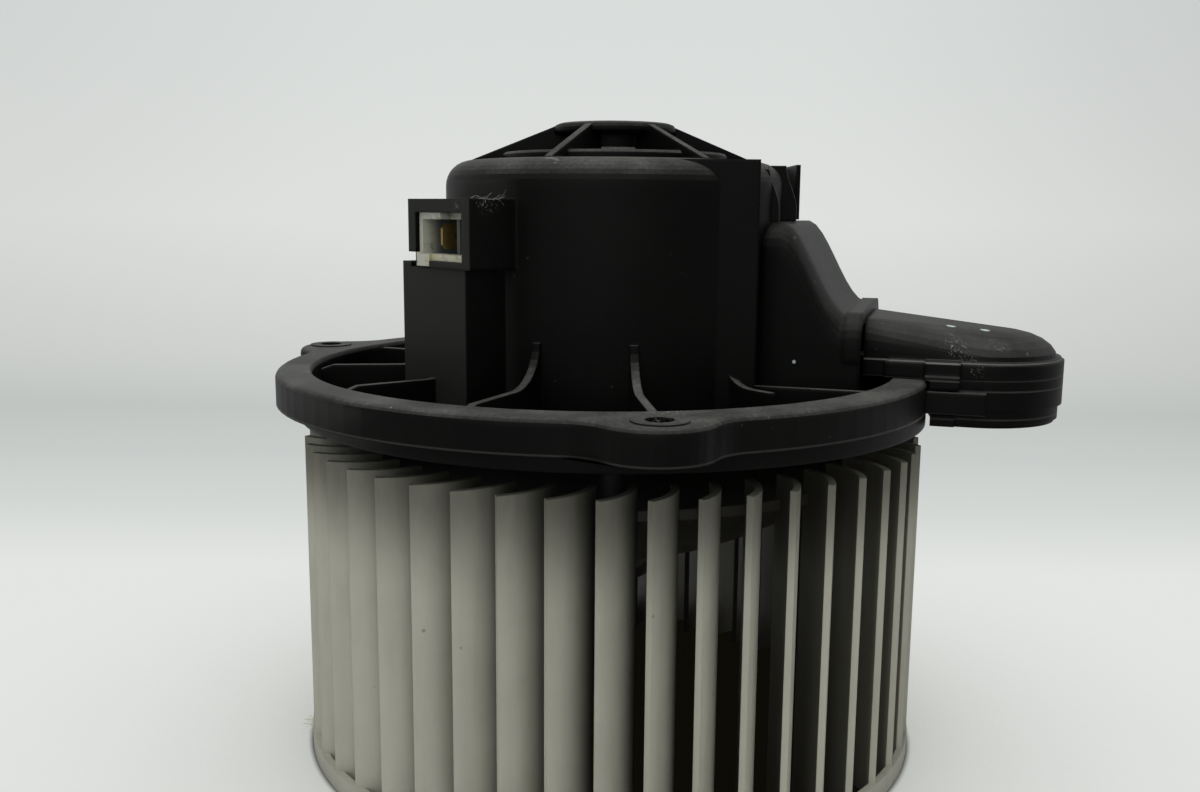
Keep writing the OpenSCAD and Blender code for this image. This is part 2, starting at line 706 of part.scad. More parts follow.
// Connector
module connector_body() {
    w = socket_w - 2 * fit;
    h = socket_h - 2 * fit;
    color(cream) difference() {
        at(tower_angle) difference() {
            union() {
                translate([insert_n, frame_off - w / 2, socket_z + fit]) cube([tower_n - 0.4 - insert_n, w, h]);
                translate([tower_n - 1.1, frame_off - socket_w / 2, socket_z - 1.2]) cube([1.5, lug_w, 3]);
            }
            translate([insert_n + 2, frame_off - w / 2 + insert_wall, socket_z + fit + insert_wall])
                cube([20, w - 2 * insert_wall, h - 2 * insert_wall]);
            translate([tower_n - 3, frame_off - 0.5, socket_z + fit + insert_wall])
                cube([20, w / 2 - insert_wall + 0.5, h]);
        }
        at(tower_angle) terminal_slots(0);
    }
    color(cream) at(tower_angle) translate([insert_n + 1, frame_off - 1.6, socket_z + fit + insert_wall - 0.2])
        cube([5, 1.2, h - 2 * insert_wall + 0.4]);
}

module terminal(s) {
    at(tower_angle) translate([0, frame_off + s * terminal_pitch / 2, blade_z])
        difference() {
            translate([terminal_in, -terminal_t / 2, -blade_w / 2]) cube([terminal_n - terminal_in, terminal_t, blade_w]);
            for (k = [-1, 1]) translate([terminal_n, -1, k * blade_w / 2]) rotate([0, 45, 0]) cube([1.4, 4, 1.4], center = true);
            translate([terminal_n - 4, 0, 0]) rotate([90, 0, 0]) cylinder(r = 0.8, h = 4, center = true);
        }
}
module terminal_live() { color(brass) terminal(1); }
module terminal_earth() { color(brass) terminal(-1); }

// Motor
module motor_yoke() {
    color(steel) difference() {
        union() {
            rotate_extrude() polygon(concat([[0, yoke_z], [0, yoke_bottom]],
                arc(yoke_r - 2.5, yoke_bottom + 2.5, 2.5, 2.5, -90, 0, 6), [[yoke_r, yoke_z]]));
            translate([0, 0, lower_seat]) cylinder(r = boss_r, h = bearing_l + 2);
        }
        rotate_extrude() polygon(concat([[0, yoke_z + 1], [0, yoke_bottom + yoke_t]],
            arc(yoke_in - 1.2, yoke_bottom + yoke_t + 1.2, 1.2, 1.2, -90, 0, 4), [[yoke_in, yoke_z + 1]]));
        translate([0, 0, lower_seat + 1]) cylinder(r = bearing_r, h = bearing_l + 10);
        translate([0, 0, lower_seat - 1]) cylinder(r = shaft_r + 1, h = 5);
        at(tower_angle) terminal_slots(0.5);
        for (k = [0:3]) rotate(90 * k + 40) translate([18, 0, yoke_bottom - 1]) cylinder(r = 3, h = 4);
        at(90) translate([yoke_in - 3, -6, 14]) cube([8, 12, 12]);
    }
}

module end_bracket() {
    color(steel) difference() {
        union() {
            translate([0, 0, yoke_z]) cylinder(r = yoke_r, h = bracket_t);
            translate([0, 0, yoke_z]) cylinder(r = boss_r, h = bracket_t + bearing_l - 0.6);
        }
        translate([0, 0, yoke_z - 1]) cylinder(r = shaft_r + 1, h = 5);
        translate([0, 0, upper_seat - 0.6]) cylinder(r = bearing_r, h = bearing_l + 3);
    }
}

module magnet(angle) {
    color(dark) at(angle) difference() {
        tube(yoke_in, yoke_in - magnet_t, magnet_z, magnet_z + magnet_l);
        rotate([0, 0, magnet_span / 2]) translate([-60, 0, -20]) cube([120, 60, 90]);
        rotate([0, 0, -magnet_span / 2]) translate([-60, -60, -20]) cube([120, 60, 90]);
    }
}
module magnet_a() { magnet(tower_angle); }
module magnet_b() { magnet(tower_angle + 180); }

module lower_bearing() {
    color(brass) tube(bearing_r, shaft_r + run_gap, lower_seat + 1, lower_seat + 1 + bearing_l);
}
module upper_bearing() {
    color(brass) tube(bearing_r, shaft_r + run_gap, upper_seat - 0.6, upper_seat - 0.6 + bearing_l);
}
module lower_isolator() {
    color(black_soft) tube(can_in - 2.4 - fit, yoke_r, yoke_bottom, yoke_bottom + isolator_h);
}
module upper_isolator() {
    color(black_soft) tube(can_in, yoke_r, upper_seat - isolator_h, upper_seat);
}

// Brush gear
module brush_card() {
    color([0.45, 0.30, 0.16]) difference() {
        tube(yoke_in, comm_r + 2.5, card_z, yoke_z);
        for (a = brush_angles) at(a) translate([comm_r + 5, -1.5, card_z - 1]) cube([5, 3, card_t + 2]);
    }
}
module brush_holder(angle) {
    w = brush_w + 0.2;
    h = brush_h + 0.2;
    color(brass) at(angle) difference() {
        translate([brush_n + 1.5, -w / 2 - holder_t, brush_z - h - holder_t])
            cube([yoke_in - 2.5 - brush_n - 1.5, w + 2 * holder_t, card_z - brush_z + h + holder_t]);
        translate([brush_n, -w / 2, brush_z - h]) cube([yoke_in - 2.5 - holder_t - brush_n, w, h]);
    }
}
module brush_holder_a() { brush_holder(brush_angles[0]); }
module brush_holder_b() { brush_holder(brush_angles[1]); }
module brush(angle) {
    color(dark) at(angle) difference() {
        translate([brush_n - 1, -brush_w / 2, brush_z - 0.1 - brush_h]) cube([brush_l + 1, brush_w, brush_h]);
        translate([0, 0, -10]) cylinder(r = brush_n, h = 90);
    }
}
module brush_a() { brush(brush_angles[0]); }
module brush_b() { brush(brush_angles[1]); }
module brush_spring(angle) {
    n0 = brush_n + brush_l;
    n1 = yoke_in - 2.5 - holder_t;
    turns = 5;
    color(steel) at(angle) translate([0, 0, brush_z - 0.1 - brush_h / 2]) rotate([0, 90, 0])
        for (k = [0:turns - 1]) let (p = (n1 - n0) / turns) translate([0, 0, n0 + p * k])
            tube(1.7, 1.0, 0, p);
}
module brush_spring_a() { brush_spring(brush_angles[0]); }
module brush_spring_b() { brush_spring(brush_angles[1]); }
module choke(angle) {
    color(copper) at(angle) translate([yoke_in - 8.9, 0, card_z - 2.8]) rotate([90, 0, 0]) {
        cylinder(r = 1.5, h = 13, center = true);
        for (k = [-3:3]) translate([0, 0, 1.5 * k]) cylinder(r = 2.8, h = 1.1, center = true);
    }
}
module choke_a() { choke(tower_angle + 45); }
module choke_b() { choke(tower_angle - 45); }
module capacitor() {
    color([0.75, 0.45, 0.15]) at(tower_angle + 180) translate([yoke_in - 9.9, 0, card_z - 2.5])
        cube([4, 8, 5], center = true);
}

// Rotor
module motor_shaft() {
    color(steel) translate([0, 0, shaft_bottom]) cylinder(r = shaft_r, h = shaft_top - shaft_bottom);
}
module armature_core() {
    color(steel) translate([0, 0, core_z]) linear_extrude(core_l) difference() {
        circle(core_r);
        circle(shaft_r);
        for (k = [0:slot_n - 1]) rotate(360 * k / slot_n) {
            translate([core_r * 0.52, -core_r * 0.09]) square([core_r * 0.4, core_r * 0.18]);
            translate([core_r * 0.8, -0.9]) square([core_r, 1.8]);
        }
    }
}
module armature_winding() {
    ri = core_r * 0.38;
    ro = core_r * 0.9;
    low = core_z - 4.5;
    color(copper) union() {
        for (z = [low, core_top + fit]) translate([0, 0, z]) rotate_extrude() translate([ri, 0])
            polygon(concat([[0.8, 0], [ro - ri - 0.8, 0]], [[ro - ri, 0.8], [ro - ri, 3.6], [ro - ri - 0.8, 4.4],
                [0.8, 4.4], [0, 3.6], [0, 0.8]]));
        for (k = [0:slot_n - 1]) rotate(360 * k / slot_n)
            translate([core_r * 0.53, -core_r * 0.08, low + 1]) cube([core_r * 0.35, core_r * 0.16, core_l + 6]);
    }
}
module commutator() {
    color(copper) difference() {
        union() {
            tube(comm_r, shaft_r, comm_z, comm_top);
            tube(comm_r + 1, shaft_r, comm_z - 0.6, comm_z + 0.6);
        }
        for (k = [0:slot_n - 1]) rotate(360 * k / slot_n + 15)
            translate([comm_r - 0.8, -0.3, comm_z - 1]) cube([4, 0.6, comm_l + 3]);
    }
}
module thrust_washers() {
    color(steel) {
        tube(shaft_r + 2.4, shaft_r, lower_seat + 1 + bearing_l + 0.1, lower_seat + 1 + bearing_l + 1);
        tube(shaft_r + 0.9, shaft_r, upper_seat - 0.6 - 1, upper_seat - 0.7);
    }
}
module hub_clip() {
    color(steel) difference() {
        tube(shaft_r + 3.6, shaft_r, hub_bottom - 0.9, hub_bottom);
        for (k = [0:2]) rotate(120 * k) translate([shaft_r - 1, -0.5, hub_bottom - 2]) cube([3.4, 1, 4]);
    }
}

motor_housing();
motor_retainer();
retainer_screws();
cooling_elbow();
duct_cover();
duct_tray();
connector_body();
terminal_live();
terminal_earth();
motor_yoke();
end_bracket();
magnet_a();
magnet_b();
lower_bearing();
upper_bearing();
lower_isolator();
upper_isolator();
brush_card();
brush_holder_a();
brush_holder_b();
brush_a();
brush_b();
brush_spring_a();
brush_spring_b();
choke_a();
choke_b();
capacitor();
motor_shaft();
armature_core();
armature_winding();
commutator();
thrust_washers();
fan_wheel();
hub_clip();
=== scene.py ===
"""Looks of a car cabin blower motor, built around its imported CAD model.

The CAD nodes keep their shapes and get moulded, metal and rubber finishes here. Small pieces that only
wear and handling leave on the real part are modelled below. Lengths are metres, and every object is in
the CAD model's own frame: +Z up, the origin on the motor's axis at the flange's underside.
"""

import enum
import logging
import math
import random
from dataclasses import dataclass, field
from functools import cached_property
from typing import Any, Mapping, Sequence

import bmesh
import bpy
from mathutils import Matrix, Vector


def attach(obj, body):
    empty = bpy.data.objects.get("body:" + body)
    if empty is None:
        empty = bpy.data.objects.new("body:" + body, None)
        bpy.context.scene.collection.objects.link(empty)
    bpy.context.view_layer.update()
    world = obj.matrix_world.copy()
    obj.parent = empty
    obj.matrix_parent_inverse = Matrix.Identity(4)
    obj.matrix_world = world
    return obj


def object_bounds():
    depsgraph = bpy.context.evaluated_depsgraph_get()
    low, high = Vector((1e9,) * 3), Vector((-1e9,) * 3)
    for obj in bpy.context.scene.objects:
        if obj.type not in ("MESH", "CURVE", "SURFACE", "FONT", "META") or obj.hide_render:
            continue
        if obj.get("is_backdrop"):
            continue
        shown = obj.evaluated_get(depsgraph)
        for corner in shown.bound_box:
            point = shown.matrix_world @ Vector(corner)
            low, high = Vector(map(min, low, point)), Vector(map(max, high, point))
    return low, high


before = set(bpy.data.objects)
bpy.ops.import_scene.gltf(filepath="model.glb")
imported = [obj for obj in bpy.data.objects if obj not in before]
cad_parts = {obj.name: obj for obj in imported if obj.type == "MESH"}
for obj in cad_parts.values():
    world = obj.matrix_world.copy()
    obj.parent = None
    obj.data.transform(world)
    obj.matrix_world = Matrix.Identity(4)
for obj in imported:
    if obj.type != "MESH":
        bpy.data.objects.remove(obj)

LOG = logging.getLogger("blower")
MM = 0.001
Colour = tuple[float, float, float]


def front(angle: float, radius: float, height: float) -> Vector:
    """Point at an angle in degrees from the front, -Y, towards +X, with lengths in millimetres."""
    turn = math.radians(angle)
    return Vector((radius * math.sin(turn), -radius * math.cos(turn), height)) * MM


class Axis(enum.Enum):
    """One coordinate of a point on a piece."""

    X = 0
    Y = 1
    Z = 2


class Wire:
    """An output socket of a material, on which arithmetic adds Math nodes."""

    def __init__(self, graph: "Graph", socket: bpy.types.NodeSocket) -> None:
        """Keeps the socket and the graph that it belongs to."""
        self.graph = graph
        self.socket = socket

    def _math(self, operation: str, *values: "Wire | float") -> "Wire":
        """Adds one Math node.

        Args:
            operation: The node's operation.
            values: Its inputs in order.

        Returns:
            The node's result.
        """
        return self.graph.make("ShaderNodeMath", {"operation": operation}, dict(enumerate(values)))

    def __add__(self, other: "Wire | float") -> "Wire":
        """Sum."""
        return self._math("ADD", self, other)

    __radd__ = __add__

    def __sub__(self, other: "Wire | float") -> "Wire":
        """Difference."""
        return self._math("SUBTRACT", self, other)

    def __rsub__(self, other: float) -> "Wire":
        """Difference, from a number."""
        return self._math("SUBTRACT", other, self)

    def __mul__(self, other: "Wire | float") -> "Wire":
        """Product."""
        return self._math("MULTIPLY", self, other)

    __rmul__ = __mul__

    def __truediv__(self, other: "Wire | float") -> "Wire":
        """Quotient."""
        return self._math("DIVIDE", self, other)

    def __pow__(self, other: "Wire | float") -> "Wire":
        """Power."""
        return self._math("POWER", self, other)

    def __abs__(self) -> "Wire":
        """Distance from zero."""
        return self._math("ABSOLUTE", self)

    def above(self, low: float, high: float) -> "Wire":
        """Smooth step from 0 at low to 1 at high.

        Args:
            low: Value at and under which the result is 0.
            high: Value at and over which the result is 1.

        Returns:
            The step, falling instead of rising where low is the larger.
        """
        ends = (0.0, 1.0) if low < high else (1.0, 0.0)
        return self.graph.make(
            "ShaderNodeMapRange",
            {"interpolation_type": "SMOOTHSTEP"},
            {"Value": self, "From Min": min(low, high), "From Max": max(low, high),
             "To Min": ends[0], "To Max": ends[1]},
        )

    def root(self) -> "Wire":
        """Square root."""
        return self._math("SQRT", self)

    def part(self) -> "Wire":
        """What is left over a whole number."""
        return self._math("FRACT", self)

    def within(self, low: float, high: float, soft: float) -> "Wire":
        """1 between two values, falling off over a soft width outside them."""
        return self.above(low - soft, low) * self.above(high + soft, high)


class Graph:
    """The node tree of a material or a world."""

    def __init__(self, name: str, world: bool = False) -> None:
        """Starts an empty node tree.

        Args:
            name: Name of the material or world.
            world: Whether the tree belongs to a new world.
        """
        self.owner = (bpy.data.worlds if world else bpy.data.materials).new(name)
        self.owner.use_nodes = True
        self.tree = self.owner.node_tree
        self.tree.nodes.clear()

    @cached_property
    def place(self) -> Wire:
        """Coordinates of the shaded point in the piece's own frame."""
        return self.make("ShaderNodeTexCoord", {}, {}, "Object")

    @cached_property
    def facing(self) -> Wire:
        """The surface's normal in the piece's own frame."""
        return self.make("ShaderNodeTexCoord", {}, {}, "Normal")

    @cached_property
    def seen(self) -> Wire:
        """Marks the rays that show a surface to the eye, in a mirror or through glass.

        Returns:
            1 for those rays.
        """
        rays = self.node("ShaderNodeLightPath", {}, {})
        eye, mirror, glass = (
            Wire(self, rays.outputs[f"Is {kind} Ray"]) for kind in ("Camera", "Glossy", "Transmission")
        )
        return eye + mirror + glass

    @cached_property
    def reach(self) -> Wire:
        """Distance from the motor's axis, in metres."""
        return (self.along(Axis.X) ** 2.0 + self.along(Axis.Y) ** 2.0).root()

    def node(self, kind: str, settings: Mapping[str, Any], sockets: Mapping[Any, Any]) -> bpy.types.Node:
        """Makes any node.

        Args:
            kind: The node's type.
            settings: Its own properties, set first; a list of stops sets a colour ramp.
            sockets: Its inputs by name or number, each a value or a wire.

        Returns:
            The node.
        """
        made = self.tree.nodes.new(kind)
        for key, value in settings.items():
            if key == "stops":
                ramp = made.color_ramp
                for element in list(ramp.elements)[1:]:
                    ramp.elements.remove(element)
                ramp.elements[0].position, ramp.elements[0].color = value[0]
                for position, colour in value[1:]:
                    ramp.elements.new(position).color = colour
            else:
                setattr(made, key, value)
        for key, value in sockets.items():
            if isinstance(value, Wire):
                self.tree.links.new(value.socket, made.inputs[key])
            elif value is not None:
                made.inputs[key].default_value = value
        return made

    def make(
        self, kind: str, settings: Mapping[str, Any], sockets: Mapping[Any, Any], output: str | int = 0
    ) -> Wire:
        """Makes any node and returns one of its outputs as a wire."""
        return Wire(self, self.node(kind, settings, sockets).outputs[output])

    def along(self, axis: Axis) -> Wire:
        """Coordinate of the shaded point along one axis, in metres."""
        return self.make("ShaderNodeSeparateXYZ", {}, {0: self.place}, axis.value)

    def faces(self, axis: Axis) -> Wire:
        """Part of the surface's normal along one axis."""
        return self.make("ShaderNodeSeparateXYZ", {}, {0: self.facing}, axis.value)

    def spread(self, stretch: Sequence[float], turn: float = 0.0) -> Wire:
        """The place, stretched and turned about Z, for a pattern that runs one way."""
        return self.make(
            "ShaderNodeMapping", {"vector_type": "TEXTURE"},
            {"Vector": self.place, "Rotation": (0.0, 0.0, turn), "Scale": tuple(stretch)},
        )

    def noise(self, scale: float, detail: float = 3.0, rough: float = 0.5, at: Wire | None = None) -> Wire:
        """Noise around one half.

        Args:
            scale: Waves per metre.
            detail: Octaves.
            rough: Strength of the finer octaves.
            at: Coordinates, the plain place if left out.

        Returns:
            The noise.
        """
        return self.make(
            "ShaderNodeTexNoise", {},
            {"Vector": at or self.place, "Scale": scale, "Detail": detail, "Roughness": rough},
        )

    def specks(self, scale: float, size: float, share: float) -> Wire:
        """Small round specks, at most one to a cell.

        Args:
            scale: Cells per metre.
            size: Radius of the largest speck as a share of its cell.
            share: Share of the cells that hold one.

        Returns:
            A mask of the specks.
        """
        cells = self.node("ShaderNodeTexVoronoi", {}, {"Vector": self.place, "Scale": scale})
        chance = self.make("ShaderNodeSeparateColor", {}, {0: Wire(self, cells.outputs["Color"])}, 0)
        distance = Wire(self, cells.outputs["Distance"])
        return chance.above(1 - share, 1 - share * 0.6) * distance.above(size, size * 0.4)

    def spot(self, centre: Sequence[float], radius: float, soft: float) -> Wire:
        """1 inside a ball round a point of the piece, falling off over a soft width."""
        far = self.make(
            "ShaderNodeVectorMath", {"operation": "DISTANCE"}, {0: self.place, 1: tuple(centre)}, "Value"
        )
        return far.above(radius + soft, radius)

    def blend(self, mask: Wire | float, low: Colour | Wire, high: Colour | Wire) -> Wire:
        """Colour that goes from low to high with the mask."""
        ends = [end if isinstance(end, Wire) else (*end, 1.0) for end in (low, high)]
        return self.make(
            "ShaderNodeMix", {"data_type": "RGBA", "clamp_factor": True}, {0: mask, 6: ends[0], 7: ends[1]}, 2
        )

    def bump(self, *layers: tuple[Wire, float], worn: float = 0.0) -> Wire:
        """Normal raised by height layers.

        Args:
            layers: Each a wire and its depth in metres.
            worn: Radius that softens the edges under the layers, none where it is 0.

        Returns:
            The normal.
        """
        normal = self.make("ShaderNodeBevel", {"samples": 4}, {"Radius": worn}) if worn else None
        for height, depth in layers:
            normal = self.make(
                "ShaderNodeBump", {}, {"Strength": 1.0, "Distance": depth, "Height": height, "Normal": normal}
            )
        return normal

    def close(self, **sockets: Any) -> bpy.types.Material:
        """Ends the material in a Principled shader.

        Args:
            sockets: The shader's inputs, with underscores for spaces.

        Returns:
            The material.
        """
        surface = self.node(
            "ShaderNodeBsdfPrincipled", {}, {key.replace("_", " "): value for key, value in sockets.items()}
        )
        self.node("ShaderNodeOutputMaterial", {}, {0: Wire(self, surface.outputs[0])})
        return self.owner


@dataclass(frozen=True)
class Scuff:
    """A patch of pale scratches on a dark moulding."""

    centre: Sequence[float]
    radius: float
    turn: float = 0.0
    strength: float = 0.6


@dataclass(frozen=True)
class Veil:
    """A thin even pale veil on the faces that look one way, inside a ball."""

    centre: Sequence[float]
    radius: float
    turn: float
    strength: float


@dataclass(frozen=True)
class BlackMoulding:
    """Black glass-filled plastic: satin, with a fine grain, a pale dusting where it lies flat that is partly
    painted top light, and pale scuffs; painted highlights on parting lines and lit edges, and painted glints
    on pips.
    """

    name: str
    base: Colour = (0.0014, 0.0014, 0.0013)
    sheen: Colour = (0.0028, 0.0028, 0.0025)
    # Pale colour of dusting, also used for the painted highlights and the pale veil.
    dust_and_highlight: Colour = (0.23, 0.23, 0.215)
    mote: Colour = (0.26, 0.26, 0.24)
    scratch: Colour = (0.42, 0.41, 0.38)
    pip_glint: Colour = (0.42, 0.50, 0.47)
    dust_and_light_level: float = 1.4
    rough: float = 0.44
    worn: float = 0.5 * MM
    scuffs: Sequence[Scuff] = ()
    veils: Sequence[Veil] = ()
    marks: Sequence[Sequence[float]] = ()
    lines: Sequence[Sequence[float]] = ()
    line_half: float = 0.12 * MM
    line_soft: float = 0.15 * MM
    lit_edge: float = 0.0
    speckled: float = 0.5
    # Spreads the pale dusting onto faces of every slope, as painted light where little light reaches them.
    side_dust_and_light: float = 0.0

    def dress(self) -> bpy.types.Material:
        """Builds the material.

        Returns:
            The material.
        """
        g = Graph(self.name)
        cloud = g.noise(38.0, 4.0, 0.55)
        grain = g.noise(2600.0, 2.0, 0.5)
        flat = g.faces(Axis.Z).above(0.15, 0.95)
        speckle = g.noise(1100.0, 3.0, 0.7).above(0.35, 0.68)
        # Pale dusting on the faces that look up, also standing in as painted top light on them.
        dust_and_top_light = (flat + self.side_dust_and_light) * (0.40 + g.noise(60.0, 5.0, 0.6).above(0.35, 0.75) * 0.6) \
            * (1.0 - self.speckled * 0.5 + speckle * self.speckled) * self.dust_and_light_level
        motes = g.specks(330.0, 0.12, 0.16) * (0.12 + flat * 0.88)
        hairs = g.noise(420.0, 2.0, 0.6, g.spread((1.0, 7.0, 1.0), 0.6)).above(0.70, 0.74) * flat
        colour = g.blend(cloud.above(0.3, 0.75), self.base, self.sheen)
        colour = g.blend(dust_and_top_light * 0.26, colour, self.dust_and_highlight)
        colour = g.blend(motes * 0.5, colour, self.mote)
        colour = g.blend(hairs * 0.30, colour, self.dust_and_highlight)
        rough = self.rough + (cloud - 0.5) * 0.12 + dust_and_top_light * 0.16 + motes * 0.2
        for scuff in self.scuffs:
            lines = g.noise(2600.0, 4.0, 0.75, g.spread((1.0, 2.2, 1.6), scuff.turn)).above(0.55, 0.66)
            mask = lines * g.spot(scuff.centre, scuff.radius * 0.2, scuff.radius * 0.8) * scuff.strength
            colour = g.blend(mask, colour, self.scratch)
            rough = rough + mask * 0.3
        for veil in self.veils:
            way = front(veil.turn, 1.0, 0.0) / MM
            turned = (g.faces(Axis.X) * way.x + g.faces(Axis.Y) * way.y).above(0.93, 0.99)
            mask = turned * g.spot(veil.centre, veil.radius, 5 * MM) * veil.strength * (0.7 + cloud * 0.6)
            colour = g.blend(mask, colour, self.dust_and_highlight)
        # Pips with a painted glint: small pale bluish spots.
        for *mark, size in self.marks:
            colour = g.blend(g.spot(mark, size * 0.7, size * 0.5), colour, self.pip_glint)
        # Painted highlights: thin pale lines at given heights, where parting lines and lips catch the light.
        for height, strength in self.lines:
            line = g.along(Axis.Z).within(height - self.line_half, height + self.line_half, self.line_soft)
            colour = g.blend(line * strength, colour, self.dust_and_highlight)
        # Painted highlight on the faces that look towards +X.
        if self.lit_edge:
            colour = g.blend(g.faces(Axis.X).above(0.25, 0.8) * self.lit_edge, colour, self.dust_and_highlight)
        normal = g.bump((grain, 0.00003), (cloud, 0.0002), worn=self.worn)
        return g.close(Base_Color=colour, Roughness=rough, Normal=normal, IOR=1.5, Specular_IOR_Level=0.05)


@dataclass(frozen=True)
class WheelPlastic:
    """Pale grey plastic of the fan wheel, with faint flow streaks and air-borne soiling near its ends, mixed
    with painted shade: a painted shadow of the flange along the blades' tops, and painted shade deep between
    the blades and on their inward faces.
    """

    name: str
    base: Colour = (0.33, 0.325, 0.265)
    pale: Colour = (0.39, 0.385, 0.32)
    dirt_and_shade: Colour = (0.046, 0.046, 0.032)
    grime_and_shade: Colour = (0.012, 0.010, 0.005)
    top: float = -9.0 * MM
    bottom: float = -84.5 * MM
    tip: float = 75.0 * MM

    def dress(self) -> bpy.types.Material:
        """Builds the material.

        Returns:
            The material.
        """
        g = Graph(self.name)
        height = g.along(Axis.Z)
        streaks = g.noise(260.0, 4.0, 0.55, g.spread((1.0, 1.0, 14.0)))
        cloud = g.noise(45.0, 4.0, 0.6)
        # Painted shadow of the flange along the blades' tops, with some soiling; plain soiling towards the
        # bottom.
        flange_shadow_and_dust = height.above(self.top - 24 * MM, self.top)
        lower = height.above(self.bottom + 9 * MM, self.bottom)
        patches = g.noise(120.0, 4.0, 0.6, g.spread((1.0, 1.0, 4.0))).above(0.2, 0.7)
        soil_and_shade = (flange_shadow_and_dust * 0.85 + lower * 0.22) * (0.75 + patches * 0.25)
        colour = g.blend(cloud.above(0.3, 0.7) * 0.6 + streaks.above(0.3, 0.7) * 0.4, self.base, self.pale)
        colour = g.blend(soil_and_shade, colour, self.dirt_and_shade)
        # Painted shade, with some soiling: darker deep between the blades and on their inward faces near the
        # tips.
        inner_shade_and_dirt = g.reach.above(self.tip - 2.5 * MM, self.tip - 12.5 * MM)
        outward = (g.along(Axis.X) * g.faces(Axis.X) + g.along(Axis.Y) * g.faces(Axis.Y)) / g.reach
        hollow_shade_and_dirt = outward.above(0.02, -0.35) * g.reach.above(self.tip - 0.4 * MM, self.tip - 3.5 * MM)
        colour = g.blend(inner_shade_and_dirt * 0.9, colour, self.grime_and_shade)
        colour = g.blend(hollow_shade_and_dirt * 0.6, colour, self.grime_and_shade)
        colour = g.blend(g.specks(240.0, 0.13, 0.12) * 0.5, colour, self.dirt_and_shade)
        rough = 0.47 + (cloud - 0.5) * 0.1 + soil_and_shade * 0.3
        normal = g.bump((g.noise(2200.0, 2.0, 0.5), 0.00002), (streaks, 0.00008), worn=0.3 * MM)
        return g.close(Base_Color=colour, Roughness=rough, Normal=normal, IOR=1.49)


@dataclass(frozen=True)
class Nylon:
    """Cream nylon of the connector insert, with a slightly yellow cast in places and painted shade deep in
    its cells.
    """

    name: str
    base: Colour = (0.42, 0.43, 0.37)
    aged: Colour = (0.42, 0.39, 0.24)
    inside: Colour = (0.045, 0.055, 0.060)
    grime_and_shade: Colour = (0.10, 0.09, 0.055)
    face: float = 49.2 * MM
    turn: float = -50.0

    def dress(self) -> bpy.types.Material:
        """Builds the material.

        Returns:
            The material.
        """
        g = Graph(self.name)
        cloud = g.noise(160.0, 4.0, 0.6)
        colour = g.blend(cloud.above(0.42, 0.72), self.base, self.aged)
        out = front(self.turn, 1.0, 0.0)
        depth = self.face - (g.along(Axis.X) * (out.x / MM) + g.along(Axis.Y) * (out.y / MM))
        colour = g.blend(g.noise(500.0, 4.0, 0.7).above(0.52, 0.66) * 0.6, colour, self.grime_and_shade)
        # Painted shade deep in the cells behind the front face.
        colour = g.blend(depth.above(0.6 * MM, 5 * MM) * 0.93, colour, self.inside)
        colour = g.blend(g.specks(700.0, 0.2, 0.15) * 0.5, colour, (0.12, 0.10, 0.07))
        return g.close(
            Base_Color=colour, Roughness=0.40 + (cloud - 0.5) * 0.2, IOR=1.53,
            Normal=g.bump((g.noise(1800.0, 2.0), 0.00002)),
        )


@dataclass(frozen=True)
class Metal:
    """Bare or plated metal with fine marks along one way and dull patches."""

    name: str
    bright: Colour
    dull: Colour
    rough: float = 0.32
    marks: Sequence[float] = (1.0, 1.0, 12.0)
    ridge: float = 0.00002

    def dress(self) -> bpy.types.Material:
        """Builds the material.

        Returns:
            The material.
        """
        g = Graph(self.name)
        patch = g.noise(90.0, 4.0, 0.6)
        lines = g.noise(1500.0, 3.0, 0.6, g.spread(self.marks))
        colour = g.blend(patch.above(0.45, 0.75), self.bright, self.dull)
        rough = self.rough + (lines - 0.5) * 0.18 + patch.above(0.45, 0.75) * 0.15
        return g.close(Base_Color=colour, Metallic=0.95, Roughness=rough, Normal=g.bump((lines, self.ridge)))


@dataclass(frozen=True)
class Laminations:
    """Stack of steel sheets seen from its side, with an oxide cast."""

    name: str
    pitch: float = 0.5 * MM

    def dress(self) -> bpy.types.Material:
        """Builds the material.

        Returns:
            The material.
        """
        g = Graph(self.name)
        sheet = (g.along(Axis.Z) / self.pitch).part()
        joint = abs(sheet - 0.5).above(0.36, 0.46)
        oxide = g.noise(140.0, 4.0, 0.6).above(0.4, 0.7)
        colour = g.blend(oxide, (0.30, 0.30, 0.32), (0.16, 0.11, 0.08))
        colour = g.blend(joint * 0.7, colour, (0.03, 0.03, 0.03))
        return g.close(
            Base_Color=colour, Metallic=0.85, Roughness=0.4 + oxide * 0.2, Normal=g.bump((1 - joint, 0.00005))
        )


@dataclass(frozen=True)
class Winding:
    """Enamelled copper wire laid in rows."""

    name: str
    enamel: Colour = (0.45, 0.15, 0.05)
    wire: float = 0.7 * MM

    def dress(self) -> bpy.types.Material:
        """Builds the material.

        Returns:
            The material.
        """
        g = Graph(self.name)
        rows = g.make(
            "ShaderNodeTexWave", {"wave_type": "BANDS", "bands_direction": "DIAGONAL"},
            {"Vector": g.place, "Scale": 0.35 / self.wire, "Distortion": 1.5, "Detail": 1.0}, "Fac",
        )
        colour = g.blend(rows, (0.16, 0.05, 0.02), self.enamel)
        return g.close(Base_Color=colour, Metallic=0.6, Roughness=0.3, Normal=g.bump((rows, 0.0002)))


@dataclass(frozen=True)
class Matte:
    """Plain dull material with a soft mottle: rubber, ferrite, carbon or laminate."""

    name: str
    low: Colour
    high: Colour
    rough: float = 0.7
    scale: float = 220.0
    relief: float = 0.00005

    def dress(self) -> bpy.types.Material:
        """Builds the material.

        Returns:
            The material.
        """
        g = Graph(self.name)
        mottle = g.noise(self.scale, 4.0, 0.6)
        return g.close(
            Base_Color=g.blend(mottle.above(0.3, 0.7), self.low, self.high),
            Roughness=self.rough + (mottle - 0.5) * 0.2, Normal=g.bump((mottle, self.relief)),
        )


